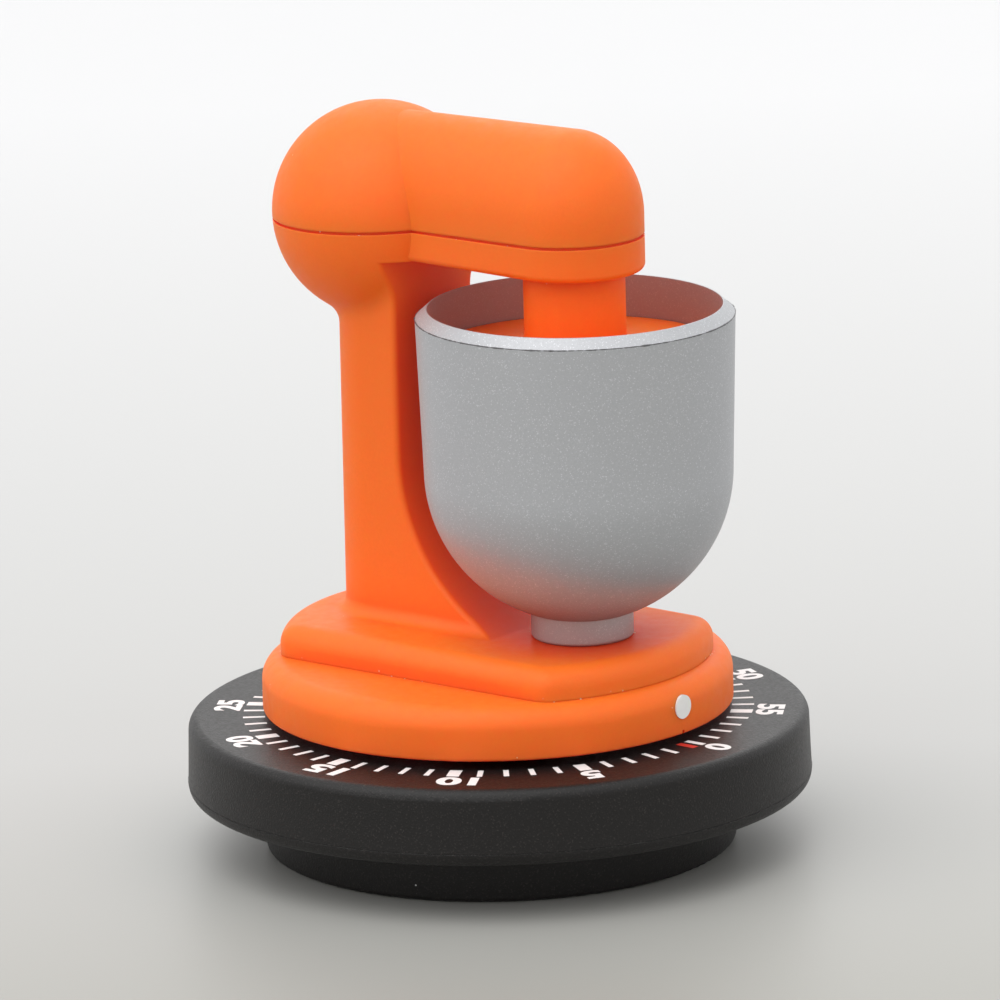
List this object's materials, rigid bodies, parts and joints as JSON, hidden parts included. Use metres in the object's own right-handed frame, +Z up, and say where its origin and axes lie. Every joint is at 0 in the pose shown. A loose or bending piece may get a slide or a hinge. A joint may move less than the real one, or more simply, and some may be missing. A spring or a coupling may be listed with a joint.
{
  "type": "kitchen timer",
  "caption": "Wind-up kitchen timer: a stand mixer with a bowl is the knob, turning on a round base with a sixty minute scale over a striking clockwork.",
  "frame": {"origin": "centre of the resting ring on the resting plane, on the knob's turning axis", "axes": "+Z up along the knob's axis; -Y towards the mixer's nose and the zero mark; +X completes the right-handed frame"},
  "size_m": [0.075, 0.075, 0.0889],
  "materials": {
    "soft_touch_orange": "soft-touch, matte",
    "grey_metallic_plastic": "fine metallic fleck, matte",
    "black_textured_plastic": "fine texture, matte",
    "white_plastic": "smooth, matte",
    "black_rubber": "matte",
    "steel": "brushed",
    "spring_steel": "blued",
    "brass": "stamped, satin",
    "bell_steel": "polished"
  },
  "bodies": {
    "base": {"dial_housing": "black_textured_plastic", "base_housing": "black_textured_plastic", "grip_ring": "black_rubber", "housing_screws": "steel", "lower_plate": "steel", "upper_plate": "steel", "plate_pillars": "steel", "pillar_nuts": "steel", "movement_screws": "steel", "mainspring": "spring_steel", "spring_post": "steel", "hairspring_stud": "steel", "bell": "bell_steel", "bell_post": "steel", "hammer_post": "steel"},
    "knob": {"turntable": "soft_touch_orange", "pointer_dot": "white_plastic", "turntable_screws": "steel", "mixer_body": "soft_touch_orange", "head_cover": "soft_touch_orange", "bowl": "grey_metallic_plastic", "bowl_screw": "steel", "beater_post": "soft_touch_orange", "post_screw": "steel", "main_arbor": "steel", "ratchet_wheel": "steel", "clicks": "steel", "click_pins": "steel", "strike_cam": "brass", "great_wheel": "brass"},
    "second": {"second_pinion": "steel", "second_wheel": "brass"},
    "third": {"third_pinion": "steel", "third_wheel": "brass"},
    "escape": {"escape_pinion": "steel", "escape_wheel": "brass"},
    "lever": {"pallet_lever": "brass", "pallet_pins": "steel", "lever_arbor": "steel"},
    "balance": {"balance_wheel": "brass", "balance_staff": "steel", "hairspring": "spring_steel"},
    "hammer": {"hammer": "brass"}
  },
  "joints": [
    {"name": "knob_turn", "type": "hinge", "parent": "base", "child": "knob", "pos_m": [0, 0, 0], "axis": [0, 0, 1], "range_deg": [-357, 0], "deforming": ["mainspring"]},
    {"name": "second_spin", "type": "hinge", "parent": "base", "child": "second", "pos_m": [0.00938, 0.00787, 0], "axis": [0, 0, 1], "range_deg": [0, 2677.5]},
    {"name": "third_spin", "type": "hinge", "parent": "base", "child": "third", "pos_m": [0.00015, 0.013, 0], "axis": [0, 0, 1], "range_deg": [-18742.5, 0]},
    {"name": "escape_spin", "type": "hinge", "parent": "base", "child": "escape", "pos_m": [-0.00801, 0.01099, 0], "axis": [0, 0, 1], "range_deg": [0, 112455]},
    {"name": "balance_swing", "type": "hinge", "parent": "base", "child": "balance", "pos_m": [-0.015, -0.00031, 0], "axis": [0, 0, 1], "range_deg": [-25, 25], "stiffness_Nm_per_rad": 0.000003, "deforming": ["hairspring"]},
    {"name": "lever_rock", "type": "hinge", "parent": "base", "child": "lever", "pos_m": [-0.01292, 0.00658, 0], "axis": [0, 0, 1], "range_deg": [-6.7, 6.7]},
    {"name": "hammer_strike", "type": "hinge", "parent": "base", "child": "hammer", "pos_m": [-0.007, -0.01571, 0], "axis": [0, 0, 1], "range_deg": [-12, 0], "stiffness_Nm_per_rad": 0.0001}
  ],
  "couplings": [
    {"joint": "second_spin", "follows": "knob_turn", "ratio": -7.5},
    {"joint": "third_spin", "follows": "knob_turn", "ratio": 52.5},
    {"joint": "escape_spin", "follows": "knob_turn", "ratio": -315},
    {"joint": "lever_rock", "follows": "balance_swing", "ratio": -0.268}
  ]
}
